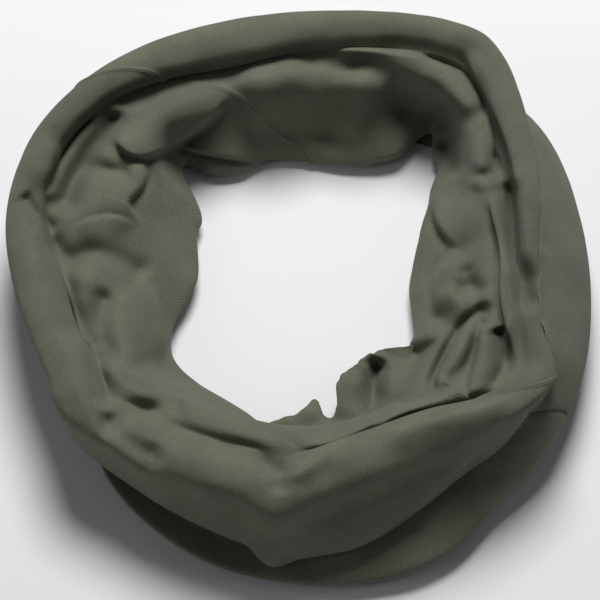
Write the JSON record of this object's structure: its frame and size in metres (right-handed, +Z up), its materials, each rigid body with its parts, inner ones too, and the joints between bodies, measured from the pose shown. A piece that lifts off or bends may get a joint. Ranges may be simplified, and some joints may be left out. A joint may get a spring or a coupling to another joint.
{
  "type": "neck gaiter",
  "caption": "Soft knitted neck gaiter: a jersey tube sewn from two panels, pushed together into a rolled, folded ring around the neck opening.",
  "frame": {"origin": "on the table, under the middle of the ring's bounding box", "axes": "+Z up, out of the neck opening; +X to the right and +Y away from the viewer when the big front roll is nearest"},
  "size_m": [0.2232, 0.229, 0.0531],
  "materials": {
    "jersey_right": "matte",
    "jersey_left": "matte",
    "seam_thread": "matte"
  },
  "bodies": {
    "root": {"right_panel": "jersey_right", "left_panel": "jersey_left", "far_side_seam": "seam_thread", "near_side_seam": "seam_thread"}
  },
  "joints": []
}
